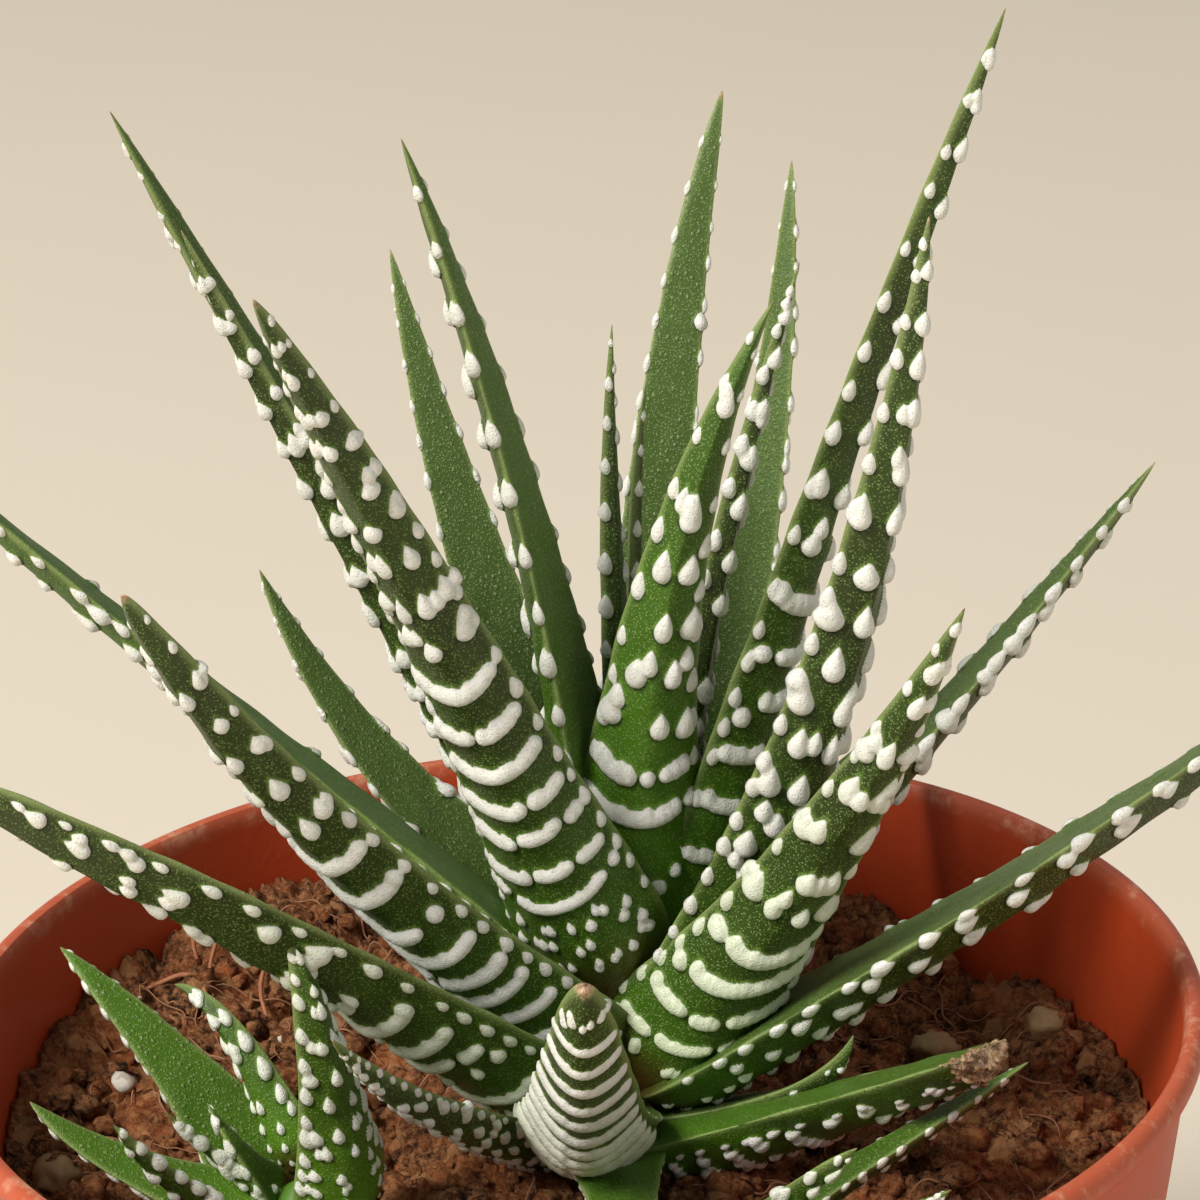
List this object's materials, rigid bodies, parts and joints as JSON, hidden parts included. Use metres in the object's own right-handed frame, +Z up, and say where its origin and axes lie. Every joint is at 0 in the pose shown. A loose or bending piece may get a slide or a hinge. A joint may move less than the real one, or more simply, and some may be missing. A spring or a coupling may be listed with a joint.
{
  "type": "potted haworthia",
  "caption": "Zebra-banded succulent rosette with two small offsets, rooted in lumpy soil in a tapered round nursery pot with a rolled lip.",
  "frame": {"origin": "centre of the pot's flat underside", "axes": "+Z up through the rosette, +Y away from the viewer of the picture, +X to the viewer's right"},
  "size_m": [0.1345, 0.12, 0.188],
  "materials": {
    "pot": "semi-matte terracotta-coloured moulded plastic",
    "soil": "loose dark peat and coir potting mix",
    "stem": "brown fibrous stem with dry leaf sheaths",
    "leaf": "satin dark green leaf with raised glossy white tubercles",
    "offset_leaf": "satin brighter green young leaf with raised white tubercles"
  },
  "bodies": {
    "root": {"pot": "pot", "soil": "soil", "stem": "stem", "leaf_01": "leaf", "leaf_02": "leaf", "leaf_03": "leaf", "leaf_04": "leaf", "leaf_05": "leaf", "leaf_06": "leaf", "leaf_07": "leaf", "leaf_08": "leaf", "leaf_09": "leaf", "leaf_10": "leaf", "leaf_11": "leaf", "leaf_12": "leaf", "leaf_13": "leaf", "leaf_14": "leaf", "leaf_15": "leaf", "leaf_16": "leaf", "leaf_17": "leaf", "leaf_18": "leaf", "leaf_19": "leaf", "leaf_20": "leaf", "leaf_21": "leaf", "leaf_22": "leaf", "leaf_23": "leaf", "leaf_24": "leaf", "leaf_25": "leaf", "leaf_26": "leaf", "leaf_27": "leaf", "leaf_28": "leaf", "leaf_29": "leaf", "leaf_30": "leaf", "leaf_31": "leaf", "left_offset_stem": "stem", "left_offset_leaf_1": "offset_leaf", "left_offset_leaf_2": "offset_leaf", "left_offset_leaf_3": "offset_leaf", "left_offset_leaf_4": "offset_leaf", "left_offset_leaf_5": "offset_leaf", "left_offset_leaf_6": "offset_leaf", "left_offset_leaf_7": "offset_leaf", "left_offset_leaf_8": "offset_leaf", "right_offset_stem": "stem", "right_offset_leaf_1": "offset_leaf", "right_offset_leaf_2": "offset_leaf", "right_offset_leaf_3": "offset_leaf", "right_offset_leaf_4": "offset_leaf", "right_offset_leaf_5": "offset_leaf"}
  },
  "joints": []
}
